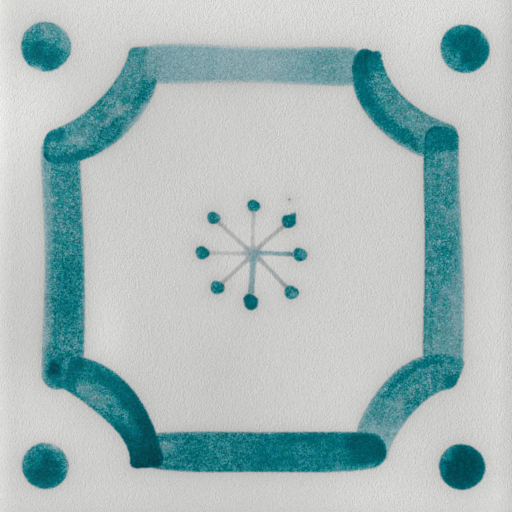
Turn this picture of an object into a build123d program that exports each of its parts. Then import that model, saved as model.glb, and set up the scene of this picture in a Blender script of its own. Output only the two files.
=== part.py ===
"""Ceramic wall tile: one pressed and fired square of clay with a cushioned face and a keyed back.

Millimetres, +Z up. The tile lies on its back, face up. The origin is the centre of the resting
plane, which is the plane of the lands and the rim of the back.
"""
from build123d import *
from math import radians, sqrt, tan
import os

# Overall size
face_side = 130.0  # square outline of the face, side to side
thickness = 8.0  # resting plane to the flat field of the face
corner_radius = 1.6  # upright corners, seen from above

# Sides: an upright nose under the face, and below it walls that lean in towards the back
nose_height = 3.4  # so that the noses of two tiles meet and the joint stays narrow
undercut_deg = 3.5  # lean that lets the pressed blank leave its die
foot_round = 0.5  # worn edge between the leaning walls and the back

# Face: a flat field that falls away gently to a soft edge
cushion_width = 4.5  # margin that falls, measured in from the sides
cushion_drop = 0.45  # how far it has fallen at the sides
field_corner_radius = 1.0  # corners of the flat field
arris_radius = 0.9  # soft edge between the face and the nose

# Back: blind grooves that the adhesive keys into, inside a plain rim
rim_width = 9.0  # flat rim round the grooves, measured in from the back's outline
key_count = 8  # an even number, so that a land and not a groove crosses the centre
key_width = 7.0  # at the mouth
key_depth = 1.1
key_draft_deg = 12.0  # sloping groove walls

# Places that follow from the sizes above
half_face = face_side / 2
half_field = half_face - cushion_width
foot_height = thickness - nose_height
back_side = face_side - 2 * foot_height * tan(radians(undercut_deg))
cushion_arc_radius = (cushion_width**2 + cushion_drop**2) / (2 * cushion_drop)


def blank():
    """The square block: the upright nose on the leaning foot, with no relief yet."""
    outline = Pos(0, 0, foot_height) * RectangleRounded(face_side, face_side, corner_radius)
    nose = extrude(outline, amount=nose_height)
    foot = extrude(outline, amount=-foot_height, taper=undercut_deg)
    return nose + foot


def cushion_section():
    """What the cushion takes off, in the XZ plane, with the edge of the flat field at X = 0.

    Its lower side is an arc that leaves the field level, has fallen by cushion_drop at the side
    of the tile, and runs on as far as the tile's corner reaches out past the field's corner.
    """
    corner_gap = (sqrt(2) - 1) * abs(field_corner_radius - corner_radius)
    reach = sqrt(2) * cushion_width + corner_gap + arris_radius
    fall = cushion_arc_radius - sqrt(cushion_arc_radius**2 - reach**2)
    start = (0, thickness)
    end = (reach, thickness - fall)
    above = thickness + cushion_width
    edges = [
        RadiusArc(start, end, cushion_arc_radius),
        Line(end, (reach, above)),
        Line((reach, above), (0, above)),
        Line((0, above), start),
    ]
    return Plane.XZ * make_face(edges)


def cushion_cuts():
    """The section run along each side of the field and turned round each of its corners."""
    section = cushion_section()
    turn_centre = half_field - field_corner_radius
    run = extrude(Pos(half_field, 0, 0) * section, amount=turn_centre, both=True)
    turned = revolve(Pos(field_corner_radius, 0, 0) * section, Axis.Z, 90)
    corner = Pos(turn_centre, turn_centre, 0) * turned
    return [Rot(0, 0, 90 * quarter) * cut for quarter in range(4) for cut in (run, corner)]


def edges_round(solid, height_low, height_high):
    """Edges of the upright walls that run round the tile between two heights."""
    walls = solid.faces().filter_by(lambda face: abs(face.normal_at().Z) < 0.001)
    found = [
        edge
        for edge in walls.edges()
        if height_low < edge.center().Z < height_high
        and edge.bounding_box().size.Z < nose_height / 3
    ]
    return ShapeList(dict.fromkeys(found))


def keys():
    """Blind grooves with round ends and sloping walls, side by side across the back."""
    keyed_side = back_side - 2 * rim_width
    pitch = (keyed_side - key_width) / (key_count - 1)
    mouth = SlotOverall(keyed_side, key_width)
    groove = extrude(mouth, amount=key_depth, taper=key_draft_deg)
    return [place * groove for place in GridLocations(0, pitch, 1, key_count)]


def tile():
    """The finished tile."""
    solid = blank() - cushion_cuts()
    face_edges = edges_round(solid, foot_height + nose_height / 3, thickness)
    solid = fillet(face_edges, arris_radius)
    back = solid.faces().sort_by(Axis.Z).first
    solid = fillet(back.outer_wire().edges(), foot_round)
    return solid - keys()


os.makedirs("parts", exist_ok=True)
export_step(tile(), "parts/tile.step")
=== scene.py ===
# %% [markdown]
# # A hand-painted ceramic wall tile
#
# The tile is one pressed and fired square of clay. Its face and the upper part of its sides carry
# an opaque off-white glaze, and on that a frame of eight brush strokes, four corner dots and a
# small star are painted in a watery turquoise. This first cell loads the fixed frame, which holds
# the tile's size and place, and notes its box before anything is added.

import bpy
import numpy as np
from mathutils.geometry import delaunay_2d_cdt
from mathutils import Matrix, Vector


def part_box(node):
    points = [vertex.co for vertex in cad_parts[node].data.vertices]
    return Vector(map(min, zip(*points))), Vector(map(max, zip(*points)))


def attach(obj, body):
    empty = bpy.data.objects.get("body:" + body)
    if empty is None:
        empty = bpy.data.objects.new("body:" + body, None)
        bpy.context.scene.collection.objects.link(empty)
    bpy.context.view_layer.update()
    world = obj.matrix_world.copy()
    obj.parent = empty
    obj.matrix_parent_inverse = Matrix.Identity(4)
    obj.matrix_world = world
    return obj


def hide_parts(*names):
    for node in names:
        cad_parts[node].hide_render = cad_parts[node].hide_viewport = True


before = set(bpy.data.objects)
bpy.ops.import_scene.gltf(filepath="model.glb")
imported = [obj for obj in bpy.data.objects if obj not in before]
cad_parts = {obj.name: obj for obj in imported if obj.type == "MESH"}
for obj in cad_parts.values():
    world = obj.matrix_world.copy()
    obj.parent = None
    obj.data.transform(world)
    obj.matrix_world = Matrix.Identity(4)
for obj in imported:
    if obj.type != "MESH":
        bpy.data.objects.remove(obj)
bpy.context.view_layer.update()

mm = 0.001
tile_low, tile_high = (np.array(corner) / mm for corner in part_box("tile"))
face_side = tile_high[0] - tile_low[0]
thickness = tile_high[2] - tile_low[2]
print(f"tile {face_side:.1f} mm square, {thickness:.1f} mm thick")

# %% [markdown]
# ## The shape of the face
#
# A pressed tile has a flat field that falls away gently to a soft edge, called a cushion. A flat
# grid with a Bevel modifier would give the soft edge but not the long fall before it, so the face
# is worked out with numpy instead: a square grid whose corner cells are pressed into quarter
# discs, and a height for each of its points.

# %% Driving sizes of the face, in mm
half_side = face_side / 2
corner_radius = 1.6
cushion_width = 4.5
cushion_drop = 0.45
field_corner_radius = 1.0
arris_radius = 0.9
inner_cells = 260
cushion_radius = (cushion_width**2 + cushion_drop**2) / (2 * cushion_drop)
# Where the face ends and the rounded arris starts: the arris rolls on from the cushion's own slope
face_inset = arris_radius * (cushion_radius - cushion_width) / (cushion_radius - arris_radius)
core_half = half_side - corner_radius  # the square that the rounded outline is offset from
rim_reach = corner_radius - face_inset


# %% The grid of the face, seen from above
def rounded_grid():
    """X and Y of the face's points: a square grid fitted to an outline with round corners.

    Inside the core square the lines are straight and evenly spaced. In each corner the square
    with sides a and b from 0 to 1 becomes a quarter disc by a * sqrt(1 - b^2 / 2) and
    b * sqrt(1 - a^2 / 2), which leaves its inner sides where they are.
    """
    core = np.linspace(-core_half, core_half, inner_cells + 1)
    margin = core_half + rim_reach * np.array((0.5, 1.0))
    lines = np.concatenate((-margin[::-1], core, margin))
    x, y = np.meshgrid(lines, lines, indexing="xy")
    a = np.maximum(np.abs(x) - core_half, 0) / rim_reach
    b = np.maximum(np.abs(y) - core_half, 0) / rim_reach
    x = np.sign(x) * (np.minimum(np.abs(x), core_half) + rim_reach * a * np.sqrt(1 - b**2 / 2))
    y = np.sign(y) * (np.minimum(np.abs(y), core_half) + rim_reach * b * np.sqrt(1 - a**2 / 2))
    return x, y


def past_field(x, y):
    """How far a point lies outside the flat field, a square with slightly rounded corners."""
    field_core = half_side - cushion_width - field_corner_radius
    out = np.hypot(np.maximum(np.abs(x) - field_core, 0), np.maximum(np.abs(y) - field_core, 0))
    return np.maximum(out - field_corner_radius, 0)


grid_x, grid_y = rounded_grid()
grid_points = len(grid_x)
print(f"face grid of {grid_points} by {grid_points} points, {2 * core_half / inner_cells:.2f} mm apart")

# %% [markdown]
# ## The glaze is never quite flat
#
# A poured glaze settles into long, shallow waves a few centimetres across and some hundredths of
# a millimetre high. They are too long for a bump texture to be worth it and they show in the
# soft reflections, so they go into the mesh: a few sine waves in seeded directions, added up.

# %% Height of the face
glaze_wave_height = 0.035  # mm, from the deepest hollow to the highest swell
glaze_wave_lengths = (11.0, 16.0, 23.0, 34.0, 52.0)  # mm
rng = np.random.default_rng(7)


def settled_waves(x, y):
    """The sum of sines with seeded directions and starts, scaled to run from -1 to 0."""
    total = np.zeros_like(x)
    for wave_length in glaze_wave_lengths:
        turns = rng.uniform(0, 2 * np.pi, 6)
        for direction, start in zip(turns[:3], turns[3:]):
            travel = x * np.cos(direction) + y * np.sin(direction)
            total += wave_length**0.5 * np.sin(2 * np.pi * travel / wave_length + start)
    return (total - total.max()) / (total.max() - total.min())


grid_out = past_field(grid_x, grid_y)
grid_fall = cushion_radius - np.sqrt(cushion_radius**2 - grid_out**2)
grid_z = thickness - grid_fall + glaze_wave_height * settled_waves(grid_x, grid_y)
print(f"face from {grid_z.min():.2f} to {grid_z.max():.2f} mm high")

# %% [markdown]
# ## Down the sides
#
# Under the face the section is: the rounded arris, the upright nose with its glaze, the uneven
# line where the glaze was wiped off before firing, then bare clay that leans in towards the
# back, and a worn edge. Every point of the face's rim carries that section down along its own
# outward direction, so the sides are rings of points, each with an inset and a height.

# %% The rim of the face and its outward directions
edge_index = np.arange(grid_points)
last = grid_points - 1
onward, back_again = edge_index[:-1], edge_index[:0:-1]
at_first, at_last = 0 * onward, last + 0 * onward
rim_rows = np.concatenate((at_first, onward, at_last, back_again))
rim_columns = np.concatenate((onward, at_last, back_again, at_first))
rim_x, rim_y = grid_x[rim_rows, rim_columns], grid_y[rim_rows, rim_columns]
core_x, core_y = np.clip(rim_x, -core_half, core_half), np.clip(rim_y, -core_half, core_half)
outward_x, outward_y = (rim_x - core_x) / rim_reach, (rim_y - core_y) / rim_reach
rim_travel = np.concatenate(((0,), np.cumsum(np.hypot(np.diff(rim_x), np.diff(rim_y)))))
rim_count = len(rim_x)
print(f"rim of {rim_count} points, {rim_travel[-1]:.0f} mm round")

# %% The section, ring by ring
glaze_line_height = 5.25  # mm above the back, with the foot's clay bare below it
glaze_line_swing = 0.45  # mm up and down
glaze_thickness = 0.14
glaze_hollow, hollow_rise = 0.03, 0.2  # where it runs thin: inset, and height over its band's middle
glaze_roll = ((0.0, 0.34), (0.01, 0.16), (0.06, 0.04), (glaze_thickness, 0.0))  # inset, above the line
nose_height = 3.4
undercut = np.tan(np.radians(3.5))
foot_round = 0.5
foot_height = thickness - nose_height
arris_steps, foot_steps = 7, 5
back_strip = 0.3  # a narrow flat beside the worn edge, which keeps the shading on the rounding


def round_the_rim(wave_counts, seed):
    """A smooth line round the tile from -1 to 1: sines with a whole number of waves, added up."""
    starts = np.random.default_rng(seed).uniform(0, 2 * np.pi, len(wave_counts))
    turn = 2 * np.pi * rim_travel / (rim_travel[-1] + rim_travel[1])
    waves = sum(np.sin(count * turn + start) / count**0.5 for count, start in zip(wave_counts, starts))
    return waves / np.abs(waves).max()


def side_rings():
    """(inset from the tile's side, height, whether the glaze covers it) of each ring, in mm."""
    rings = []
    sine = past_field(rim_x, rim_y) / cushion_radius
    arris_inset = face_inset + arris_radius * sine
    arris_height = grid_z[rim_rows, rim_columns] - arris_radius * np.sqrt(1 - sine**2)
    for share in np.linspace(0, 1, arris_steps + 1)[1:]:
        turn = np.arcsin(sine) * (1 - share) + np.pi / 2 * share
        ring_inset = arris_inset - arris_radius * np.sin(turn)
        rings.append((ring_inset, arris_height + arris_radius * np.cos(turn), True))
    side_inset = arris_inset - arris_radius
    glaze_line = glaze_line_height + glaze_line_swing * round_the_rim((3, 5, 9, 14, 23, 37), 11)
    rings.append((side_inset + glaze_hollow, (arris_height + glaze_line) / 2 + hollow_rise, True))
    for inset, above in glaze_roll:
        rings.append((side_inset + inset, glaze_line + above, True))
    clay_inset = side_inset + glaze_thickness
    rings.append((clay_inset, 0 * rim_x + foot_height, False))
    edge_inset = clay_inset + undercut * (foot_height - foot_round) + foot_round * np.hypot(1, undercut)
    lean = np.arctan(undercut)
    for turn in np.linspace(lean, np.pi / 2, foot_steps):
        ring_height = foot_round * (1 - np.sin(turn)) + 0 * rim_x
        rings.append((edge_inset - foot_round * np.cos(turn), ring_height, False))
    rings.append((edge_inset + back_strip, 0 * rim_x, False))
    return rings


rings = side_rings()
print(f"{len(rings)} rings down the sides, glaze line {glaze_line_height} mm up")

# %% [markdown]
# ## The keyed back
#
# The back has eight shallow grooves with round ends, so that the adhesive holds it to the wall.
# Each groove is one outline carried from its mouth up the sloping wall to its floor, again as
# rings. The flat land between them is filled by a triangulation that knows its edges, which is
# simpler than cutting holes with a Boolean and leaves no stray faces.

# %% Driving sizes of the back, in mm
rim_width = 9.0
key_count = 8
key_width = 7.0
key_depth = 1.1
key_draft = np.tan(np.radians(12.0))
key_edge_round = 0.3
key_floor_round = 0.35
key_end_points = 21
key_round_steps = 4
land_strip, floor_strip = 0.25, 0.3  # narrow flats beside the rounded edges
back_side = face_side - 2 * foot_height * undercut
keyed_side = back_side - 2 * rim_width
key_pitch = (keyed_side - key_width) / (key_count - 1)
key_places = (np.arange(key_count) - (key_count - 1) / 2) * key_pitch


# %% One groove's outline and its rings
def slot_outline(offset):
    """Points of a slot with round ends, grown by offset, from its right end the long way round."""
    turns = np.concatenate((np.linspace(-90, 90, key_end_points), np.linspace(90, 270, key_end_points)))
    ends = np.repeat((1, -1), key_end_points) * (keyed_side - key_width) / 2
    radius = key_width / 2 + offset
    return ends + radius * np.cos(np.radians(turns)), radius * np.sin(np.radians(turns))


def key_section():
    """(offset from the mouth, height) of each ring: land, worn edge, drafted wall, floor."""
    draft_angle = np.arctan(key_draft)
    slant = np.hypot(1, key_draft)
    edge_offset = key_edge_round * (slant - key_draft)
    floor_height = key_depth - key_floor_round
    floor_offset = -key_draft * floor_height - key_floor_round * slant
    section = [(edge_offset + land_strip, 0.0)]
    for turn in np.linspace(np.pi / 2, draft_angle, key_round_steps):
        worn = key_edge_round * (1 - np.sin(turn))
        section.append((edge_offset - key_edge_round * np.cos(turn), worn))
    for turn in np.linspace(draft_angle, np.pi / 2, key_round_steps):
        rise = floor_height + key_floor_round * np.sin(turn)
        section.append((floor_offset + key_floor_round * np.cos(turn), rise))
    section.append((floor_offset - floor_strip, key_depth))
    return section


print(f"{key_count} grooves {keyed_side:.1f} mm long, {key_pitch:.2f} mm apart, {key_depth} mm deep")

# %% [markdown]
# ## One closed skin
#
# The face, the side rings, the grooves and the land are joined into one mesh by counting: each
# block of points knows its first index, and rows of faces are made from shifted copies of whole
# index arrays. A last check counts how many faces share each edge, which is two all over a
# closed skin, and adds up the volume, which is positive when the faces point outwards.

# %% Gather points and faces, each with its place on the square map of the surface
points = []  # blocks of points
blocks = []  # (faces, map places of their corners, whether they are glazed) of each block of faces
face_share = 0.76  # of the square map's width, for the face
map_scale = face_share / face_side  # map widths for each mm
map_margin = 0.004
strip_width = 0.058  # for one side of the tile
back_start, back_height = 0.77, 0.22


def add_points(x, y, z):
    """Adds a block of points and gives their indices."""
    first = sum(len(block) for block in points)
    points.append(np.stack((x, y, z + 0 * x), -1).reshape(-1, 3))
    return first + np.arange(x.size)


def face_places(faces):
    """Map places of the face's faces: the face seen from above."""
    spots = np.concatenate(points)[faces][..., :2]
    return map_margin + (spots + half_side) * map_scale


def back_places(faces):
    """Map places of the back's faces: the back laid flat above the face, and squeezed one way."""
    spots = np.concatenate(points)[faces][..., :2] / face_side + 0.5
    return np.array((map_margin, back_start)) + spots * np.array((1 - 2 * map_margin, back_height))


def ring_quads(upper, lower):
    """Faces between two closed rings that go round counterclockwise seen from above."""
    return np.stack((upper, lower, np.roll(lower, -1), np.roll(upper, -1)), 1)


face_index = add_points(grid_x, grid_y, grid_z).reshape(grid_x.shape)
corners = (face_index[:-1, :-1], face_index[:-1, 1:], face_index[1:, 1:], face_index[1:, :-1])
face_faces = np.stack(corners, 2).reshape(-1, 4)
blocks.append((face_faces, face_places(face_faces), True))
print(f"{len(face_faces)} faces on the face")

# %% The sides, laid out on the map as four strips beside the face
side_number = np.arange(rim_count) // last
travel_on = np.concatenate((rim_travel, (rim_travel[-1] + rim_travel[1],)))
side_start = travel_on[side_number * last]
along = np.stack((travel_on[:-1], travel_on[:-1], travel_on[1:], travel_on[1:]), 1) - side_start[:, None]
strip_left = face_share + 2 * map_margin + side_number[:, None] * strip_width
ring = face_index[rim_rows, rim_columns]
ring_depth = 0.0
for inset, height, glazed in rings:
    reach = corner_radius - inset
    next_ring = add_points(core_x + reach * outward_x, core_y + reach * outward_y, height)
    step = np.concatenate(points)[next_ring] - np.concatenate(points)[ring]
    next_depth = ring_depth + np.linalg.norm(step, axis=1).mean()
    down = np.array((ring_depth, next_depth, next_depth, ring_depth)) * map_scale
    places = np.stack((strip_left + down, map_margin + along * map_scale), 2)
    blocks.append((ring_quads(ring, next_ring), places, glazed))
    ring, ring_depth = next_ring, next_depth
outer_ring = ring
print(f"the section down a side is {ring_depth:.1f} mm long, {ring_depth * map_scale:.3f} of the map")

# %% The grooves
floor_steps = np.arange(key_end_points + 1)
middle = key_end_points // 2
mouth_rings = []
for place in key_places:
    ring = None
    for offset, height in key_section():
        slot_x, slot_y = slot_outline(offset)
        next_ring = add_points(slot_x, slot_y + place, height)
        if ring is None:
            mouth_rings.append(next_ring)
        else:
            wall = ring_quads(next_ring, ring)[:, ::-1]
            blocks.append((wall, back_places(wall), False))
        ring = next_ring
    # The floor is a strip of faces between the outline's two halves, with a triangle at each end
    above = ring[middle + floor_steps]
    below = ring[(middle - floor_steps) % (2 * key_end_points)]
    floor = np.stack((below[:-1], below[1:], above[1:], above[:-1]), 1)
    tips = np.array(((below[0], below[1], above[1]), (below[-2], below[-1], above[-2])))
    for faces in (floor[1:-1], tips):
        blocks.append((faces, back_places(faces), False))
print(f"{len(mouth_rings)} grooves, {sum(len(faces) for faces, _, _ in blocks)} faces so far")

# %% The land between the grooves
land_points = np.concatenate([outer_ring] + mouth_rings)
land_spots = np.concatenate(points)[land_points][:, :2]
loops = [np.arange(len(outer_ring))]
for mouth in mouth_rings:
    loops.append(loops[-1][-1] + 1 + np.arange(len(mouth)))
land_edges = np.concatenate([np.stack((loop, np.roll(loop, -1)), 1) for loop in loops])
filled = delaunay_2d_cdt(land_spots.tolist(), land_edges.tolist(), [], 1, 1e-6)
land = np.array(filled[2])
centre_x, centre_y = land_spots[land].mean(1).T
slot_half = (keyed_side - key_width) / 2
in_slot = np.zeros(len(land), bool)
chord_reach = (key_width / 2 + key_section()[0][0]) * np.cos(np.pi / (2 * (key_end_points - 1)))
for place in key_places:
    past_end = np.maximum(np.abs(centre_x) - slot_half, 0)
    in_slot |= np.hypot(past_end, centre_y - place) < chord_reach
land = land[~in_slot]
turn_x, turn_y = (land_spots[land[:, 1]] - land_spots[land[:, 0]]).T
other_x, other_y = (land_spots[land[:, 2]] - land_spots[land[:, 0]]).T
facing_up = turn_x * other_y - turn_y * other_x > 0
land[facing_up] = land[facing_up][:, ::-1]
land = land_points[land]
blocks.append((land, back_places(land), False))
print(f"{len(land)} triangles of land, {len(filled[0]) - len(land_points)} points added by the filling")

# %% Join the blocks, and check the skin
all_points = np.concatenate(points)
wide = [np.pad(faces, ((0, 0), (0, 4 - faces.shape[1])), constant_values=-1) for faces, _, _ in blocks]
all_faces = np.concatenate(wide)
four_sided = all_faces[:, 3] >= 0
glazed_faces = np.concatenate([np.full(len(faces), glazed) for faces, _, glazed in blocks])
all_places = np.concatenate([places.reshape(-1, 2) for _, places, _ in blocks])
flat_loops = all_faces[all_faces >= 0]
loop_totals = np.where(four_sided, 4, 3)
loop_starts = np.cumsum(loop_totals) - loop_totals


def closed_and_outward():
    """Faces at each edge (2 and 2 on a closed skin) and the volume that the faces enclose."""
    nexts = np.where(four_sided[:, None], np.roll(all_faces, -1, 1), all_faces[:, (1, 2, 0, 3)])
    pairs = np.sort(np.stack((all_faces, nexts), 2)[all_faces >= 0], 1)
    _, shared = np.unique(pairs, axis=0, return_counts=True)
    a, b, c = (all_points[all_faces[:, i]] for i in range(3))
    d = all_points[np.where(four_sided, all_faces[:, 3], all_faces[:, 2])]
    volume = np.einsum("ij,ij->i", a, np.cross(b, c) + np.cross(c, d)).sum() / 6
    return shared.min(), shared.max(), volume / 1000


print("faces at each edge %d to %d, volume %.2f cm3" % closed_and_outward())

# %% Put the skin into a mesh
mesh = bpy.data.meshes.new("glazed_tile")
mesh.vertices.add(len(all_points))
mesh.vertices.foreach_set("co", (all_points * mm).ravel())
mesh.loops.add(len(flat_loops))
mesh.loops.foreach_set("vertex_index", flat_loops)
mesh.polygons.add(len(all_faces))
mesh.polygons.foreach_set("loop_start", loop_starts)
mesh.polygons.foreach_set("material_index", np.where(glazed_faces, 0, 1))
mesh.update(calc_edges=True)
mesh.shade_smooth()
mesh.uv_layers.new(name="OFBake").uv.foreach_set("vector", all_places.ravel())
mesh.validate(verbose=True)
print(f"{len(all_points)} points, {(loop_totals - 2).sum()} triangles")

# %% [markdown]
# ## How a brush stroke is described
#
# The painter's marks are flat, so they belong in the glaze's colour and not in its shape. A
# picture would be the quick way to draw them, but a picture can't be changed stroke by stroke.
# Here each stroke is a line with a width that swells and narrows, rounded ends, and a load of
# pigment that runs out or pools along the way. For every point of the face numpy works out how
# far it lies from the stroke's edge and how much pigment lies there, and the mesh carries
# these numbers to the material as attributes.

# %% Smooth curves through a few stations
def smooth_through(stations, t):
    """The one polynomial through evenly spaced stations, read at fractions t from 0 to 1."""
    stations = np.atleast_1d(stations)
    places = np.linspace(0, 1, len(stations))
    weights = np.linalg.solve(np.vander(places, increasing=True), stations)
    return np.vander(np.clip(np.ravel(t), 0, 1), len(stations), increasing=True) @ weights


line_steps = np.linspace(0, 1, 91)


def straight_line(start, end, bow):
    """A stroke across the tile: start + t (end - start), moved to its left by bow's stations."""
    start, end = np.array(start), np.array(end)
    ahead = (end - start) / np.linalg.norm(end - start)
    left = np.array((-ahead[1], ahead[0]))
    return start + line_steps[:, None] * (end - start) + smooth_through(bow, line_steps)[:, None] * left


def corner_line(dot, from_deg, to_deg, radii):
    """A stroke round a corner dot: the angle runs evenly and the radius follows its stations."""
    angle = np.radians(from_deg + (to_deg - from_deg) * line_steps)
    radius = smooth_through(radii, line_steps)
    return np.array(dot) + np.stack((radius * np.cos(angle), radius * np.sin(angle)), 1)


# %% The mark that a brush leaves along a line
far = 9.0  # mm: how far from a stroke's edge the distances are kept
pool_wander = 0.5  # mm that a pool's outline strays
stray_waves = (2.9, 3.7, 4.9, 7.3)  # mm
stray_turn, stray_start = 2.4, 1.7  # radians from one wave to the next: its direction, its start


def stray(x, y, first_angle):
    """From -1 to 1 or so: sines of the stray waves in turned directions, added up."""
    total = 0
    for k, wave in enumerate(stray_waves):
        angle = first_angle + stray_turn * k
        travel = x * np.cos(angle) + y * np.sin(angle)
        total = total + np.sin(2 * np.pi / wave * travel + stray_start * k)
    return total / 3


def pool_share(along, across):
    """1 inside a rounded box of half sides 1 and 0 outside: 1 / (1 + r^8), r^4 = along^4 + across^4."""
    return 1 / (1 + (along**4 + across**4)**2)


def beside_line(x, y, line):
    """(travel along the line to its nearest place, distance to its left, its whole length)."""
    steps = np.diff(line, axis=0)
    lengths = np.hypot(steps[:, 0], steps[:, 1])
    travel = np.concatenate(((0,), np.cumsum(lengths)))
    middles = (line[1:] + line[:-1]) / 2
    nearest = np.argmin((x[:, None] - middles[:, 0])**2 + (y[:, None] - middles[:, 1])**2, axis=1)
    ahead = steps[nearest] / lengths[nearest, None]
    offset_x, offset_y = x - line[nearest, 0], y - line[nearest, 1]
    forward = offset_x * ahead[:, 0] + offset_y * ahead[:, 1]
    least = np.where(nearest == 0, -np.inf, 0)
    most = np.where(nearest == len(steps) - 1, np.inf, lengths[nearest])
    left = offset_y * ahead[:, 0] - offset_x * ahead[:, 1]
    return travel[nearest] + np.clip(forward, least, most), left, travel[-1]


def brush_mark(x, y, line, half_widths, ends, load, rim=(0.0, 0.0), pools=()):
    """Distance to the mark's edge (negative inside), load, rim line and way, at each point.

    The mark is a box of changing half width, rounded by ends at its start and finish: with p the
    way past an end plus the rounding and q the way past a side plus the rounding, the distance is
    hypot(max(p, 0), max(q, 0)) + min(max(p, q), 0) - rounding. The load follows its stations
    along the mark and gains flat-topped pools. Each pool is (travel, side, reach along the mark,
    width across it, gain), with sides from -1 to 1, and paler where the gain is negative.
    """
    mark = np.zeros((len(x), 5))
    mark[:, 0] = far
    near = (np.abs(x - line[:, 0].mean()) < np.ptp(line[:, 0]) / 2 + 2 * far)
    near &= (np.abs(y - line[:, 1].mean()) < np.ptp(line[:, 1]) / 2 + 2 * far)
    travel, left, length = beside_line(x[near], y[near], line)
    t = np.clip(travel / length, 0, 1)
    half = smooth_through(half_widths, t)
    rounding = np.where(t < 0.5, ends[0], ends[1])
    p = np.maximum(-travel, travel - length) + rounding
    q = np.abs(left) - half + rounding
    edge = np.hypot(np.maximum(p, 0), np.maximum(q, 0)) + np.minimum(np.maximum(p, q), 0) - rounding
    side = left / half
    pigment = smooth_through(load, t)
    strayed_travel = travel + pool_wander * stray(x[near], y[near], 0.3)
    strayed_side = side + pool_wander / half * stray(x[near], y[near], 1.4)
    for at, across, reach, width, gain in pools:
        pigment += gain * pool_share((strayed_travel - at) / reach, (strayed_side - across) / width)
    rim_line = np.where(side > 0, rim[0], rim[1])
    mark[near] = np.stack((np.minimum(edge, far), pigment, rim_line, travel, left), 1)
    return mark


def nearest_mark(marks):
    """Of several marks that don't cross, the one whose edge is nearest, at each point."""
    marks = np.array(marks)
    choice = marks[:, :, 0].argmin(0)
    return marks[choice, np.arange(marks.shape[1])]


face_x, face_y = grid_x.ravel(), grid_y.ravel()
print(f"marks are worked out at {len(face_x)} points")

# %% [markdown]
# ## The frame of eight strokes
#
# Four broad strokes run along the sides and four curved ones turn round the corner dots, each
# crossing the ends of its neighbours. Sizes are in millimetres from the middle of the tile. The
# top stroke is nearly dry, the bottom one is heavy, and each curved one pools along one edge.

# %% The corner dots, which the curved strokes turn round
dot_top_left = (-52.55, 52.35)
dot_top_right = (52.2, 51.8)
dot_bottom_left = (-52.7, -52.5)
dot_bottom_right = (51.5, -52.75)

# %% The straight strokes, each with its pools from start to end
top_band = brush_mark(
    face_x, face_y, straight_line((-27.0, 47.92), (26.0, 47.33), (0, 0.31, 0.17, 0.05, 0)),
    half_widths=(4.7, 4.78, 4.42, 4.65, 4.65), ends=(1.5, 2.5), load=(0.34, 0.29, 0.28, 0.35, 0.34),
    rim=(-0.11, -0.10),
    pools=[(16, 0.1, 1.5, 0.8, 0.03), (31, -0.2, 3, 0.6, -0.03), (43, 0.1, 4, 0.8, 0.04)])
bottom_band = brush_mark(
    face_x, face_y, straight_line((-27.0, -48.65), (32.6, -48.25), (0, -0.42, -0.56, -0.66, 0)),
    half_widths=(4.1, 5.0, 4.93, 4.98, 4.0), ends=(2.0, 3.7), load=(0.67, 0.72, 0.74, 0.75, 0.83),
    rim=(-0.19, -0.02),
    pools=[(4.6, 0.15, 1.7, 0.33, -0.2), (8, -0.6, 3, 0.12, -0.12), (11.5, -0.2, 2.4, 0.8, 0.06),
           (17, 0.5, 3, 0.35, -0.07), (20, -0.2, 3, 0.4, -0.06), (31, -0.2, 5, 0.7, 0.09),
           (38.5, 0.8, 5, 0.35, 0.18), (43, -0.2, 2.5, 0.6, 0.06), (48.5, 0.5, 4, 0.35, 0.13),
           (56, 0.1, 6, 1.1, 0.2), (53, -1.0, 7, 0.26, -0.3)])
left_band = brush_mark(
    face_x, face_y, straight_line((-48.94, 28.5), (-48.4, -33.3), (0, 0.47, 0.82, 0.47, 0)),
    half_widths=(4.75, 4.85, 4.9, 5.2, 4.9), ends=(1.6, 3.4), load=(0.59, 0.58, 0.62, 0.69, 0.65),
    rim=(-0.16, -0.10),
    pools=[(26.5, -0.95, 27, 0.38, -0.2), (17.5, -0.35, 5, 0.3, -0.06), (35.5, 0.2, 7, 0.55, 0.11),
           (41.5, -0.1, 2, 0.5, 0.08), (42.5, 0.9, 3.5, 0.25, -0.12), (49.8, 0.35, 3.2, 0.75, -0.1),
           (49, -0.65, 3, 0.25, -0.1), (55, 0.25, 1.5, 0.25, -0.08), (51, -1.0, 9, 0.34, -0.14)])
right_band = brush_mark(
    face_x, face_y, straight_line((46.6, 32.4), (46.9, -30.8), (0, -0.22, 0.25, 0.15, 0)),
    half_widths=(4.3, 4.45, 4.75, 5.07, 4.8), ends=(3.2, 2.6), load=(0.58, 0.53, 0.53, 0.46, 0.42),
    rim=(-0.12, 0.12),
    pools=[(2.8, -0.05, 3.5, 1.2, 0.28), (8, 0.45, 2.4, 0.35, -0.11), (17.5, 0.1, 1.6, 0.5, 0.06),
           (22, 0.35, 1.6, 0.3, -0.09), (26, 0.95, 11, 0.25, -0.12), (32.5, 0.1, 4.2, 0.5, 0.11),
           (43, 0.7, 9, 0.4, -0.1), (47, -0.6, 11, 0.14, 0.1)])
bands = nearest_mark((top_band, bottom_band, left_band, right_band))

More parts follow.
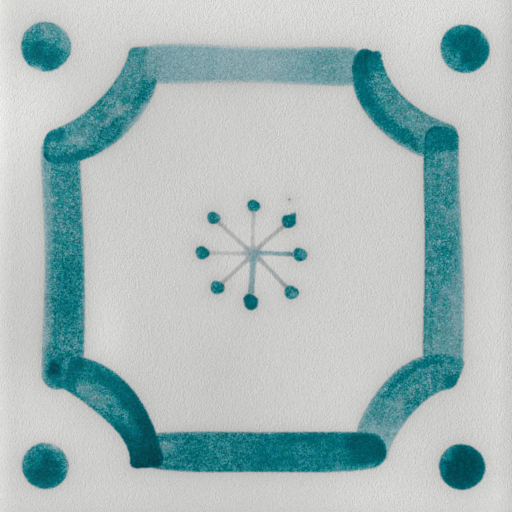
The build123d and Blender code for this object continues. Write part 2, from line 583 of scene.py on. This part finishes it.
# %% The curved strokes
arc_top_left = brush_mark(
    face_x, face_y, corner_line(dot_top_left, 0, -91.3, (24.6, 24.45, 24.15, 24.75, 25.15)),
    half_widths=(3.6, 4.85, 5.32, 5.05, 3.9), ends=(1.2, 2.7), load=(0.47, 0.54, 0.52, 0.51, 0.50),
    rim=(-0.03, 0.04),
    pools=[(3, 0.72, 4.2, 0.5, -0.16), (9, -0.7, 4, 0.3, -0.09), (11, 0.55, 3.4, 0.3, 0.2),
           (16.5, 1.05, 4.5, 0.25, -0.22), (17.3, 0.0, 1.7, 0.32, -0.18), (21, -0.55, 2, 0.25, 0.08),
           (22.5, 0.5, 3.8, 0.36, 0.23), (31.5, 0.1, 3.2, 0.33, -0.12), (34, 0.74, 6.2, 0.32, 0.33),
           (35.6, -0.68, 2.6, 0.4, 0.36), (37.2, -0.25, 1.1, 0.28, -0.16), (39.1, 0.0, 1.1, 1.1, 0.27)])
arc_top_right = brush_mark(
    face_x, face_y, corner_line(dot_top_right, 181.0, 265.5, (23.6, 24.9, 24.26, 23.96, 23.85)),
    half_widths=(3.0, 4.6, 5.02, 5.08, 4.4), ends=(2.4, 2.2), load=(0.79, 0.56, 0.49, 0.46, 0.50),
    rim=(0.02, -0.12),
    pools=[(5.5, -0.5, 7.5, 0.5, 0.3), (2.5, 0.35, 3.8, 0.5, 0.18), (7.6, 0.0, 1.2, 0.25, -0.08),
           (20, -0.52, 7.7, 0.32, 0.35)])
arc_bottom_left = brush_mark(
    face_x, face_y, corner_line(dot_bottom_left, 90, -1, (24.1, 24.0, 23.85, 24.6, 25.6)),
    half_widths=(3.4, 4.87, 5.17, 4.15, 4.85), ends=(3.4, 2.4), load=(0.70, 0.66, 0.70, 0.88, 1.2),
    rim=(-0.09, 0.05),
    pools=[(2.4, 0.05, 1.9, 0.8, 0.2), (2.1, 0.0, 1.3, 0.36, 0.24), (4.7, 0.2, 0.8, 0.6, -0.12),
           (7.0, 0.1, 1.7, 1.1, 0.2), (14.5, -0.45, 5, 0.42, -0.2), (15.5, 1.05, 3.5, 0.25, -0.14),
           (20.5, 0.65, 11, 0.5, 0.25), (24, -0.25, 3, 0.18, -0.15), (27, -0.68, 4, 0.32, 0.12),
           (33, -0.1, 3, 0.4, 0.07)])
arc_bottom_right = brush_mark(
    face_x, face_y, corner_line(dot_bottom_right, 91, 177.5, (23.2, 24.4, 23.38, 23.1, 23.17)),
    half_widths=(4.0, 4.97, 5.12, 4.82, 4.5), ends=(1.8, 2.2), load=(0.50, 0.56, 0.53, 0.43, 0.39),
    rim=(0.0, -0.08),
    pools=[(1.4, 0.6, 3.0, 0.45, 0.36), (5, -0.8, 3, 0.1, 0.1), (11.2, -0.56, 7.6, 0.14, 0.32),
           (16.5, 0.7, 2.0, 0.25, 0.1), (18.8, 0.15, 1.2, 0.25, -0.16), (18.6, -0.25, 0.6, 0.3, 0.1),
           (28, 0.0, 2.2, 0.4, -0.08), (28, 0.95, 8, 0.25, -0.12)])
arcs = nearest_mark((arc_top_left, arc_top_right, arc_bottom_left, arc_bottom_right))
for name, group in (("bands", bands), ("arcs", arcs)):
    painted = group[:, 0] < 0
    print(f"{name}: {painted.mean():.1%} of the face, load {group[painted, 1].mean():.2f}")

# %% [markdown]
# ## Dots and the star
#
# The corner dots are round dabs of a full brush, pressed down and lifted. The star is eight thin
# rays, most of them in nearly clear water, and a small dab on the end of each. Such water leaves
# a grey trace with hardly any colour, so each ray has a greyness beside its load of pigment. The
# rays meet in a green knot at the middle.

# %% A dab of the brush
def dab(x, y, centre, radius, load, rim=0.0, uneven=(0.02, 0.0), pools=()):
    """A round mark whose load changes at the rim and in flat-topped pools.

    Its edge is radius * (1 + uneven[0] cos(2 a + 1) + uneven[1] cos(3 a)) at the angle a. Each
    pool is (right, up, reach, gain) from the middle of the dab.
    """
    offset_x, offset_y = x - centre[0], y - centre[1]
    angle, out = np.arctan2(offset_y, offset_x), np.hypot(offset_x, offset_y)
    swell = 1 + uneven[0] * np.cos(2 * angle + 1) + uneven[1] * np.cos(3 * angle)
    edge = np.minimum(out - radius * swell, far)
    pigment = load + rim * np.clip(out / radius, 0, 1)**4
    strayed_x = offset_x + pool_wander * stray(x, y, 0.9)
    strayed_y = offset_y + pool_wander * stray(x, y, 2.2)
    for right, up, reach, gain in pools:
        pigment += gain * pool_share((strayed_x - right) / reach, (strayed_y - up) / reach)
    return np.stack((edge, pigment, 0 * edge, out, angle * radius), 1)


# %% The corner dots and the star's dabs
star_middle = (-0.7, 0.7)
dabs = [
    dab(face_x, face_y, dot_top_left, 6.2, load=0.99, rim=-0.3, uneven=(0.01, 0.01),
        pools=[(2.9, 2.7, 3.4, -0.42), (-2.2, 4.2, 2.6, -0.28), (4.4, -1.0, 1.8, -0.12),
               (-5.2, 1.0, 2.2, -0.14), (-2.4, -6.0, 1.6, -0.5), (5.2, -4.0, 1.5, -0.25)]),
    dab(face_x, face_y, dot_top_right, 6.05, load=1.02, rim=-0.24, uneven=(0.015, 0.01),
        pools=[(-4.0, -2.8, 2.8, -0.28), (-5.5, 0.5, 2.0, -0.12), (-1.5, 5.2, 1.7, -0.14),
               (0.0, -5.6, 1.8, -0.1), (5.7, 3.3, 1.5, -0.36)]),
    dab(face_x, face_y, dot_bottom_left, 5.75, load=1.05, rim=-0.34, uneven=(0.01, 0.0),
        pools=[(1.0, 5.5, 2.1, -0.34), (4.5, 3.6, 2.4, -0.34), (5.7, -0.6, 1.8, -0.18),
               (-4.0, 2.6, 2.9, -0.2)]),
    dab(face_x, face_y, dot_bottom_right, 5.7, load=1.16, rim=-0.24, uneven=(0.015, 0.01),
        pools=[(-4.4, 3.8, 2.2, -0.34), (-5.8, -0.5, 1.6, -0.14)]),
]
# Each ray: (tip, tip radius, tip load, pools in the tip, ray's half width, its loads, its greyness)
star = [
    ((-0.6, 12.5), 1.52, 0.76, [(-0.2, -0.9, 0.6, -0.2)], 0.42, (0.07, 0.05, 0.10), 0.15),
    ((8.15, 8.6), 1.68, 0.92, [(0, 0.2, 0.4, -0.3), (-1.2, -1, 0.5, -0.3)], 0.52, (0.08, 0.06, 0.08), 0.23),
    ((11.0, 0.35), 1.68, 0.80, [(0.9, 0.3, 0.8, -0.28)], 0.52, (0.26, 0.27, 0.56), 0.06),
    ((8.85, -9.1), 1.7, 0.74, [(0.8, -0.7, 0.8, -0.3), (-0.9, 0.6, 0.5, -0.15)], 0.50,
     (0.12, 0.09, 0.2), 0.21),
    ((-1.35, -11.2), 1.72, 0.94, [(0.4, -0.3, 0.4, -0.14)], 0.72, (0.23, 0.24, 0.33), 0.09),
    ((-9.65, -7.9), 1.65, 0.78, [(-0.4, 0.2, 0.5, -0.2)], 0.50, (0.09, 0.06, 0.08), 0.2),
    ((-13.4, 0.82), 1.65, 0.78, [(-0.9, -0.5, 0.6, -0.18)], 0.46, (0.08, 0.04, 0.06), 0.16),
    ((-10.6, 9.5), 1.52, 0.74, [(0.8, 0.4, 0.6, -0.22)], 0.50, (0.07, 0.06, 0.08), 0.19),
]
tip_uneven = (0.06, 0.05)
ray_bow, ray_swell, ray_ends = (0, 0.12, 0.05, 0), np.array((1.3, 1.0, 1.0, 1.15)), (0.4, 0.4)
rays = []
for tip, radius, load, patches, half_width, ray_loads, greyness in star:
    dabs.append(dab(face_x, face_y, tip, radius, load, uneven=tip_uneven, pools=patches))
    line = straight_line(star_middle, tip, ray_bow)
    rays.append(brush_mark(face_x, face_y, line, half_width * ray_swell, ray_ends, ray_loads))
    rays[-1][:, 2] = greyness  # in the column of the rim line, which a ray doesn't have
# Small touches: one tip drawn out, another to a point, a fallen speck, and a stroke's broken corner
touches = [  # place, radius, load
    ((-1.25, -11.95), 1.58, 0.94), ((9.1, 9.7), 0.85, 0.9), ((9.6, 10.35), 0.42, 0.88),
    ((8.4, 14.1), 0.2, 0.8), ((30.2, 50.1), 1.2, 0.8),
]
for place, radius, load in touches:
    dabs.append(dab(face_x, face_y, place, radius, load))
dots = nearest_mark(dabs)

# %% The rays run into each other
ray_melt = 0.18  # mm over which two rays melt together
knot_load, knot_reach = 0.14, 2.3


def melted(marks, reach):
    """Marks that run into each other: edge = -reach log(sum exp(-edge / reach)), loads by nearness."""
    marks = np.array(marks)
    nearness = np.exp(-np.clip(marks[:, :, 0], -far / 3, far) / reach)
    total = nearness.sum(0)
    mark = (marks * nearness[..., None]).sum(0) / total[:, None]
    mark[:, 0] = np.minimum(-reach * np.log(total), far)
    return mark


rays = melted(rays, ray_melt)
from_middle = np.hypot(face_x - star_middle[0], face_y - star_middle[1])
rays[:, 1] += knot_load * np.exp(-(from_middle / knot_reach)**2)
greyness = rays[:, 2].copy()
rays[:, 2] = 0
print(f"{len(dabs)} dabs and {len(star)} rays")

# %% Put the marks on the mesh
def add_attribute(name, kind, values, empty):
    """An attribute that holds values on the face's points and the empty value on all others."""
    full = np.tile(np.array(empty, float), (len(all_points), 1))
    full[:len(face_x)] = values
    key = "value" if kind == "FLOAT" else "vector"
    mesh.attributes.new(name, kind, "POINT").data.foreach_set(key, full.ravel())


for name, group in (("bands", bands), ("arcs", arcs), ("dots", dots), ("rays", rays)):
    add_attribute(name, "FLOAT_VECTOR", group[:, :3], (far, 0, 0))
way = np.where(bands[:, :1] <= arcs[:, :1], bands[:, 3:], arcs[:, 3:])
add_attribute("way", "FLOAT_VECTOR", np.column_stack((way, 0 * face_x)), (0, 0, 0))
add_attribute("greyness", "FLOAT", greyness[:, None], (0.0,))
print(f"greyness up to {greyness.max():.2f} in the rays")

# %% [markdown]
# ## The ground is paler in places
#
# Where the poured glaze lay thicker it fired a little whiter, and where it was thin the body
# greys it. Noise would put such patches anywhere, so these broad ones are listed one by one, as
# soft bell shapes added up, and the noise of the material only breaks them up.
# Part of it is painted light: most of the gain lies on the right, away from the lamp, and evens out the fall
# of its light across the tile.

# %% Paleness of the ground: the glaze's own tone and painted light
pale_and_painted_light_patches = [  # x, y, reach along x and along y in mm, and the share of light gained
    (0, 62, 66, 11, 0.12), (56, 62, 17, 17, 0.09), (42, 54, 11, 12, 0.06), (66, -32, 12, 50, 0.17),
    (46, -66, 34, 10, 0.08), (32, -58, 16, 14, 0.08), (-58, 36, 13, 16, 0.15), (-56, -36, 9, 9, 0.07),
    (-65, 50, 6, 12, -0.05), (-8, 42, 9, 7, -0.035), (-45, 0, 2.5, 34, -0.03), (46, -10, 14, 30, 0.015),
    (50, 42, 12, 12, 0.02), (64, -64, 8, 8, 0.06), (-37, -62, 12, 8, 0.02), (38, -46, 6, 6, 0.03),
    (-62, -18, 12, 24, -0.10), (-34, 34, 22, 26, -0.06), (-22, -34, 26, 30, -0.05), (-37, -19, 5, 11, 0.11),
    (22, -34, 13, 20, 0.05), (30, 18, 28, 34, 0.02), (-52, -46, 9, 5, 0.06), (-8, -32, 7, 14, -0.03),
    (-58, 60, 14, 9, -0.035),
]
paleness_and_painted_light = np.ones_like(face_x)
for x, y, reach_x, reach_y, gain in pale_and_painted_light_patches:
    paleness_and_painted_light += gain * np.exp(-((face_x - x) / reach_x)**2 - ((face_y - y) / reach_y)**2)
add_attribute("paleness_and_painted_light", "FLOAT", paleness_and_painted_light[:, None], (1.0,))
print(f"paleness from {paleness_and_painted_light.min():.2f} to {paleness_and_painted_light.max():.2f}")

# %% [markdown]
# ## Building materials from nodes
#
# Colours are written as sRGB hex values, as a paint chart gives them, and turned to the linear
# light that the renderer works in by one function. A second small function adds a node: it sets
# the node's properties, fills its inputs with numbers or with other nodes, and gives the node.

# %% Colour and node helpers
def linear(hex_colour):
    """RGBA in linear light: c / 12.92 in the darkest tones, else ((c + 0.055) / 1.055) ** 2.4."""
    channels = [int(hex_colour[i:i + 2], 16) / 255 for i in (1, 3, 5)]
    return [c / 12.92 if c <= 0.04045 else ((c + 0.055) / 1.055)**2.4 for c in channels] + [1.0]


def add_node(tree, kind, inputs=(), **settings):
    """A node of that kind with its settings. Its inputs, in order or by name, are values or nodes."""
    node = tree.nodes.new("ShaderNode" + kind)
    for name, value in settings.items():
        setattr(node, name, value)
    for key, value in inputs.items() if isinstance(inputs, dict) else enumerate(inputs):
        if isinstance(value, bpy.types.Node):
            value = value.outputs[0]
        if isinstance(value, bpy.types.NodeSocket):
            tree.links.new(value, node.inputs[key])
        else:
            node.inputs[key].default_value = value
    return node


def new_material(name):
    """An empty material, its node tree, and its Principled shader joined to the output."""
    material = bpy.data.materials.new(name)
    material.use_nodes = True
    tree = material.node_tree
    tree.nodes.clear()
    shader = add_node(tree, "BsdfPrincipled")
    add_node(tree, "OutputMaterial", (shader,))
    return material, tree, shader


# %% [markdown]
# ## Painted tin glaze
# The bumps' glints and shade are painted into the glaze's colour instead, as light and dark grains.
#
# An opaque tin glaze is glass clouded white, fired over a rough body: satin, off-white, and
# covered with fine bumps like the skin of an orange. Its clouded bulk is matt and takes the
# bumps, and the clear glass on top lies smooth, so the shader is a matt base with a thin coat.
# One shiny bumpy layer would be simpler, but its glints would whiten the dark paint.
#
# The colour was brushed on before firing, so it lies in the glaze and shares its gloss. Where
# the wash is thin it is a grey-blue film, and where it is thick it turns from green-teal to a
# deep petrol colour, so one ramp from pigment load to colour serves every stroke. The pigment
# also gathers in small hollows, and that gives the speckle of half-loaded strokes.

# %% The glaze's colours and scales
paint_ramp = [  # pigment load and the colour it fires to
    (0.00, "#CECECC"), (0.10, "#B5B9BA"), (0.20, "#98AEB2"), (0.30, "#7EA1A7"), (0.40, "#64949A"),
    (0.50, "#40898F"), (0.60, "#1C8288"), (0.70, "#067A81"), (0.80, "#006E78"), (0.90, "#00626D"),
    (1.00, "#00545E"), (1.20, "#003E47"),
]
ramp_top = paint_ramp[-1][0]
glaze_noises = {  # name: (mm from one blotch to the next, detail, roughness)
    "bumps": (0.34, 2.0, 0.5),  # the skin's relief
    "wobble": (1.6, 3.0, 0.6),  # the edges of strokes
    "speckle": (0.46, 2.0, 0.6),  # the pigment's load, fine
    "cloud": (2.0, 2.0, 0.5),  # and coarse
    # the next noise gives the pigment's fine grain, and painted glints and shade of the bumps
    "grain_and_glint": (0.28, 1.0, 0.5),  # light and dark grains
    "hue": (0.6, 2.0, 0.5),  # between green and blue
    "mottle": (3.2, 1.0, 0.5),  # the bare ground, fine
    "clouding": (14.0, 2.0, 0.5),  # and coarse
}
bump_height = 0.22 * mm
edge_wobble = 0.16  # mm that a stroke's edge wanders
edge_softness = 0.3  # mm: a stroke fades from this far inside its outline to this far outside it
edge_line = 0.9  # mm: how wide the darker or paler line along a stroke's edge is
overlap_gain = 0.06  # share of the weaker stroke's load that shows where two strokes cross
streak_length, streak_width = 9.0, 0.9  # mm, the trace of the brush's hairs

# %% The glaze's noises, each running from -1 to 1 or so
glaze, tree, shader = new_material("satin_tin_glaze_painted_turquoise")
object_place = add_node(tree, "TexCoord").outputs["Object"]
noise = {}
for name, (period, detail, roughness) in glaze_noises.items():
    settings = {"Vector": object_place, "Scale": 1 / (period * mm), "Detail": detail, "Roughness": roughness}
    texture = add_node(tree, "TexNoise", settings)
    noise[name] = add_node(tree, "Math", (texture, 2.0, -1.0), operation="MULTIPLY_ADD")
way = add_node(tree, "Attribute", attribute_name="way").outputs["Vector"]
hairs = add_node(tree, "VectorMath", (way, (1 / streak_length, 1 / streak_width, 0)), operation="MULTIPLY")
texture = add_node(tree, "TexNoise", {"Vector": hairs, "Scale": 1.0, "Detail": 1.0})
noise["streak"] = add_node(tree, "Math", (texture, 2.0, -1.0), operation="MULTIPLY_ADD")
print("noises: " + ", ".join(noise))

# %% How much of each kind of mark covers a place
wobble = add_node(tree, "Math", (noise["wobble"], edge_wobble), operation="MULTIPLY")
loads, covers, edges = [], [], []
for name in ("bands", "arcs", "dots", "rays"):
    mark = add_node(tree, "Attribute", attribute_name=name).outputs["Vector"]
    edge, load, rim = add_node(tree, "SeparateXYZ", (mark,)).outputs
    ragged = add_node(tree, "Math", (edge, wobble), operation="ADD")
    cover = add_node(
        tree, "MapRange", (ragged, -edge_softness, edge_softness, 1.0, 0.0), interpolation_type="SMOOTHSTEP")
    at_edge = add_node(
        tree, "MapRange", (ragged, -edge_line, -edge_softness), interpolation_type="SMOOTHSTEP")
    lined = add_node(tree, "Math", (rim, at_edge, load), operation="MULTIPLY_ADD")
    loads.append(add_node(tree, "Math", (lined, cover), operation="MULTIPLY"))
    covers.append(cover)
    edges.append(edge)

# %% One wash out of all the marks
weaker = add_node(tree, "Math", (loads[0], loads[1]), operation="MINIMUM")
stronger = add_node(tree, "Math", (loads[0], loads[1]), operation="MAXIMUM")
wash = add_node(tree, "Math", (weaker, overlap_gain, stronger), operation="MULTIPLY_ADD")
for load in loads[2:]:
    wash = add_node(tree, "Math", (wash, load), operation="MAXIMUM")
print(f"one wash out of {len(loads)} kinds of mark")

# %% Speckle: none in the film, most at half load, little where the wash has pooled
film_load, half_load = 0.2, 0.72  # the speckle comes in between these loads
pooling_load, pooled_load, pooled_share = 0.78, 1.0, 0.5  # and between these it falls to this share
speckle_shares = {"streak": 0.16, "cloud": 0.32, "speckle": 0.62}
speckle_limit = 0.35
past_film = add_node(tree, "MapRange", (wash, film_load, half_load), interpolation_type="SMOOTHSTEP")
falling = (wash, pooling_load, pooled_load, 1.0, pooled_share)
pooled = add_node(tree, "MapRange", falling, interpolation_type="SMOOTHSTEP")
strength = add_node(tree, "Math", (past_film, pooled), operation="MULTIPLY")
speckle = 0.0
for name, share in speckle_shares.items():
    speckle = add_node(tree, "Math", (noise[name], share, speckle), operation="MULTIPLY_ADD")
limited = (speckle, -0.5, 0.5, -speckle_limit, speckle_limit)
speckle = add_node(tree, "MapRange", limited, interpolation_type="SMOOTHSTEP")
speckled = add_node(tree, "Math", (speckle, strength, wash), operation="MULTIPLY_ADD")
print("speckle of " + ", ".join(f"{share:.0%} {name}" for name, share in speckle_shares.items()))

# %% Fine grain in the fuller wash, and limits to both
grain_from, grain_full, grain_depth = 0.5, 0.8, 0.5  # loads, and the load that the grain moves
palest_step = 0.2  # no grain is paler than the wash by more than this
filled_load = 0.88  # the hollows fill up: only the wash itself gets darker than this
grain = add_node(tree, "MapRange", (wash, grain_from, grain_full, 0.0, -grain_depth))
grain = add_node(tree, "Math", (grain, pooled), operation="MULTIPLY")
speckled = add_node(tree, "Math", (noise["grain_and_glint"], grain, speckled), operation="MULTIPLY_ADD")
palest = add_node(tree, "Math", (wash, palest_step), operation="SUBTRACT")
speckled = add_node(tree, "Math", (speckled, palest), operation="MAXIMUM")
full = add_node(tree, "Math", (wash, filled_load), operation="MAXIMUM")
pigment = add_node(tree, "Math", (speckled, full), operation="MINIMUM")

# %% From the pigment's load to its colour
share = add_node(tree, "Math", (pigment, ramp_top), operation="DIVIDE")
ramp = add_node(tree, "ValToRGB", (share,))
stops = ramp.color_ramp.elements
while len(stops) < len(paint_ramp):
    stops.new(0.5)
for stop, (load, hex_colour) in zip(stops, paint_ramp):
    stop.position = load / ramp_top
    stop.color = linear(hex_colour)
print(f"paint from {paint_ramp[0][1]} to {paint_ramp[-1][1]} in {len(stops)} stops")

# %% The ground's tone, and a faint grey bloom beside the paint
bloom_reach, bloom_grey = 1.6, 0.17  # mm over which the bloom fades, and how much it darkens
bare_softness = 0.2  # mm: it sets in this softly at the paint's edge
ground_shares = {"clouding": 0.02, "mottle": 0.012}
nearest = add_node(tree, "Math", (edges[0], edges[1]), operation="MINIMUM")
nearest = add_node(tree, "Math", (nearest, edges[2]), operation="MINIMUM")
outside = add_node(tree, "Math", (nearest, 0.0), operation="MAXIMUM")
fading = add_node(tree, "Math", (outside, -bloom_reach), operation="DIVIDE")
fading = add_node(tree, "Math", (fading,), operation="EXPONENT")
bloom = add_node(tree, "Math", (fading, bloom_grey), operation="MULTIPLY")
bare = add_node(tree, "MapRange", (nearest, -bare_softness, bare_softness), interpolation_type="SMOOTHSTEP")
greyed = add_node(tree, "Math", (bloom, bare), operation="MULTIPLY")
# the ground's paleness: the glaze's own tone, and painted light on the side away from the lamp
tone = add_node(tree, "Attribute", attribute_name="paleness_and_painted_light").outputs["Fac"]
for name, share in ground_shares.items():
    tone = add_node(tree, "Math", (noise[name], share, tone), operation="MULTIPLY_ADD")
tone = add_node(tree, "Math", (tone, greyed), operation="SUBTRACT")
grey = add_node(tree, "Attribute", attribute_name="greyness").outputs["Fac"]
grey = add_node(tree, "Math", (grey, covers[3]), operation="MULTIPLY")
tone = add_node(tree, "Math", (tone, grey), operation="SUBTRACT")
print(f"bloom fades over {bloom_reach} mm")

# %% Painted glints and shade of the fine bumps, as light and dark grains: hardly any on the bare ground, most at half load, fewer when full
painted_glints_on_bare, painted_glints_on_paint, full_share = 0.06, 1.5, 0.4
painted_glints = add_node(tree, "MapRange", (wash, 0.0, 0.65, painted_glints_on_bare, painted_glints_on_paint))
dimmed = add_node(tree, "MapRange", (wash, 0.6, 0.85, 1.0, full_share))
painted_glints = add_node(tree, "Math", (painted_glints, dimmed), operation="MULTIPLY")
tone = add_node(tree, "Math", (noise["grain_and_glint"], painted_glints, tone), operation="MULTIPLY_ADD")

# %% Greener where the speckle is dark, and bluer where it is pale
hue_stray = 1.2  # beside the speckle's own share
green_gain, blue_loss = 0.15, 0.3
hue = add_node(tree, "Math", (noise["hue"], hue_stray, speckle), operation="MULTIPLY_ADD")
hue = add_node(tree, "Math", (hue, strength), operation="MULTIPLY")
shift = (0.0, green_gain, -blue_loss)
light = add_node(tree, "VectorMath", (hue, shift, tone), operation="MULTIPLY_ADD")
tint = add_node(tree, "VectorMath", (ramp, light), operation="MULTIPLY")

# %% The glaze's shader
bumps = add_node(tree, "Bump", {"Height": noise["bumps"], "Strength": 1.0, "Distance": bump_height / 2})
for name, node in (("Base Color", tint), ("Normal", bumps)):
    tree.links.new(node.outputs[0], shader.inputs[name])
# The bumpy layer is clouded and matt, and the clear glass over it lies smooth
shader.inputs["Specular IOR Level"].default_value = 0.0
shader.inputs["Coat Weight"].default_value = 0.3
shader.inputs["Coat Roughness"].default_value = 0.3
shader.inputs["Coat IOR"].default_value = 1.5
print(f"painted glaze of {len(tree.nodes)} nodes")

# %% [markdown]
# ## Bare fired clay
#
# Below the glaze line and on the back the body shows: a buff earthenware, matt and a little
# gritty, with darker and paler grains under half a millimetre across.

# %% The clay
clay_noises = {"blotch": (9.0, 3.0, 0.5), "grain": (0.5, 3.0, 0.7)}
blotch_share, grain_share = 0.35, 0.5
grit_height = 0.04 * mm
clay, tree, shader = new_material("bare_buff_earthenware")
object_place = add_node(tree, "TexCoord").outputs["Object"]
noise = {}
for name, (period, detail, roughness) in clay_noises.items():
    settings = {"Vector": object_place, "Scale": 1 / (period * mm), "Detail": detail, "Roughness": roughness}
    texture = add_node(tree, "TexNoise", settings)
    noise[name] = add_node(tree, "Math", (texture, 2.0, -1.0), operation="MULTIPLY_ADD")
blotched = add_node(tree, "Math", (noise["blotch"], blotch_share, 0.5), operation="MULTIPLY_ADD")
mixed = add_node(tree, "Math", (noise["grain"], grain_share, blotched), operation="MULTIPLY_ADD")
body = add_node(tree, "ValToRGB", (mixed,))
body.color_ramp.elements[0].color = linear("#B39A7C")
body.color_ramp.elements[1].color = linear("#DCC9AE")
grit = add_node(tree, "Bump", {"Height": noise["grain"], "Strength": 1.0, "Distance": grit_height})
for name, node in (("Base Color", body), ("Normal", grit)):
    tree.links.new(node.outputs[0], shader.inputs[name])
shader.inputs["Roughness"].default_value = 0.9
mesh.materials.append(glaze)
mesh.materials.append(clay)
print(f"clay of {len(tree.nodes)} nodes")

# %% Hand the tile to the frame
tile = bpy.data.objects.new("glazed_tile", mesh)
bpy.context.scene.collection.objects.link(tile)
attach(tile, "root")
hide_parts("tile")

# %% [markdown]
# ## Floor, light and camera
#
# The tile lies face up on a plain pale floor. The light is a soft lamp from the left and a
# little behind, low enough that the glaze's bumps throw shades, and a pale sky all round. The
# camera looks straight down and frames 128 mm of the 130 mm face.
#
# From low down a flat floor would end in a hard line, and it would brighten towards the lamp.
# A studio hangs a curved sheet of paper for that. Here the flat paper fades into the tone of the
# sky behind it, for whatever looks at it and not for the light that it throws back, and close to
# the tile it stays plain paper that takes the shadow.

# %% The floor
floor_half = 2.0  # m
floor_low = -0.02 * mm  # a hair below the tile's back, so that the two don't meet face to face
square = ((-1, -1), (1, -1), (1, 1), (-1, 1))
floor_corners = [(x * floor_half, y * floor_half, floor_low) for x, y in square]
floor_mesh = bpy.data.meshes.new("studio_floor")
floor_mesh.from_pydata(floor_corners, [], [(0, 1, 2, 3)])
floor = bpy.data.objects.new("studio_floor", floor_mesh)
bpy.context.scene.collection.objects.link(floor)
print(f"floor {2 * floor_half:.0f} m square")

# %% The paper that covers the floor
fibre_length, fibre_tone, paper_base = 60 * mm, 0.02, 0.70
backdrop_tone = 0.78
fade_start, fade_end = 0.11, 0.45  # m from the middle
paper, tree, shader = new_material("pale_studio_paper")
object_place = add_node(tree, "TexCoord").outputs["Object"]
fibres = add_node(tree, "TexNoise", {"Vector": object_place, "Scale": 1 / fibre_length})
paper_tone = add_node(tree, "Math", (fibres, fibre_tone, paper_base), operation="MULTIPLY_ADD")
tree.links.new(paper_tone.outputs[0], shader.inputs["Base Color"])
shader.inputs["Roughness"].default_value = 0.95
shader.inputs["Specular IOR Level"].default_value = 0.0
# Farther out, what the camera sees of the paper fades into the tone of the backdrop
way_out = add_node(tree, "VectorMath", (object_place,), operation="LENGTH").outputs["Value"]
faded = add_node(tree, "MapRange", (way_out, fade_start, fade_end), interpolation_type="SMOOTHSTEP")
rays_seen = add_node(tree, "LightPath").outputs
seen = add_node(tree, "Math", (rays_seen["Is Camera Ray"], rays_seen["Is Glossy Ray"]), operation="ADD")
seen = add_node(tree, "Math", (seen, rays_seen["Is Transmission Ray"]), operation="ADD")
share = add_node(tree, "Math", (faded, seen), operation="MULTIPLY")
backdrop = add_node(tree, "Emission", {"Color": linear("#FFFFFF"), "Strength": backdrop_tone})
mixed = add_node(tree, "MixShader", (share, shader, backdrop))
tree.links.new(mixed.outputs[0], tree.nodes["Material Output"].inputs["Surface"])
floor_mesh.materials.append(paper)
print(f"paper fades into the backdrop from {fade_start} to {fade_end} m")

# %% The sky, which glows near the horizon and is dark overhead
glow_low, glow_high, zenith_tone = 0.35, 0.85, 0.02  # the glow falls between these heights
world = bpy.data.worlds.new("pale_studio")
bpy.context.scene.world = world
world.use_nodes = True
sky = world.node_tree
sky.nodes.clear()
above = add_node(sky, "SeparateXYZ", (add_node(sky, "TexCoord").outputs["Generated"],)).outputs["Z"]
falling = (above, glow_low, glow_high, backdrop_tone, zenith_tone)
glow = add_node(sky, "MapRange", falling, interpolation_type="SMOOTHSTEP")
backdrop = add_node(sky, "Background", {"Color": linear("#FFFFFF"), "Strength": glow})
add_node(sky, "OutputWorld", (backdrop,))
print(f"a glow of {backdrop_tone} at the horizon, {zenith_tone} overhead")

# %% The lamp
lamp_azimuth, lamp_elevation, lamp_distance = np.radians(168.0), np.radians(40.0), 2.2
lamp_data = bpy.data.lights.new("window_box", "AREA")
lamp_data.shape = "SQUARE"
lamp_data.size = 0.8
lamp_data.energy = 57.4
lamp = bpy.data.objects.new("window_box", lamp_data)
bpy.context.scene.collection.objects.link(lamp)
lamp_out = lamp_distance * np.cos(lamp_elevation)
lamp_up = lamp_distance * np.sin(lamp_elevation)
lamp.location = (lamp_out * np.cos(lamp_azimuth), lamp_out * np.sin(lamp_azimuth), lamp_up)
lamp.rotation_euler = (np.pi / 2 - lamp_elevation, 0, lamp_azimuth + np.pi / 2)
print(f"lamp {lamp_distance} m away, {lamp_up:.2f} m up")

# %% The camera
framed_width = 128 * mm
camera_data = bpy.data.cameras.new("camera")
camera_data.lens = 100.0
camera_data.sensor_width = 36.0
camera = bpy.data.objects.new("camera", camera_data)
bpy.context.scene.collection.objects.link(camera)
camera_height = framed_width * camera_data.lens / camera_data.sensor_width + thickness * mm
camera.location = (0, 0, camera_height)
bpy.context.scene.camera = camera
bpy.context.scene.view_settings.view_transform = "Standard"
print(f"camera {camera_height * 1000:.0f} mm above the floor")
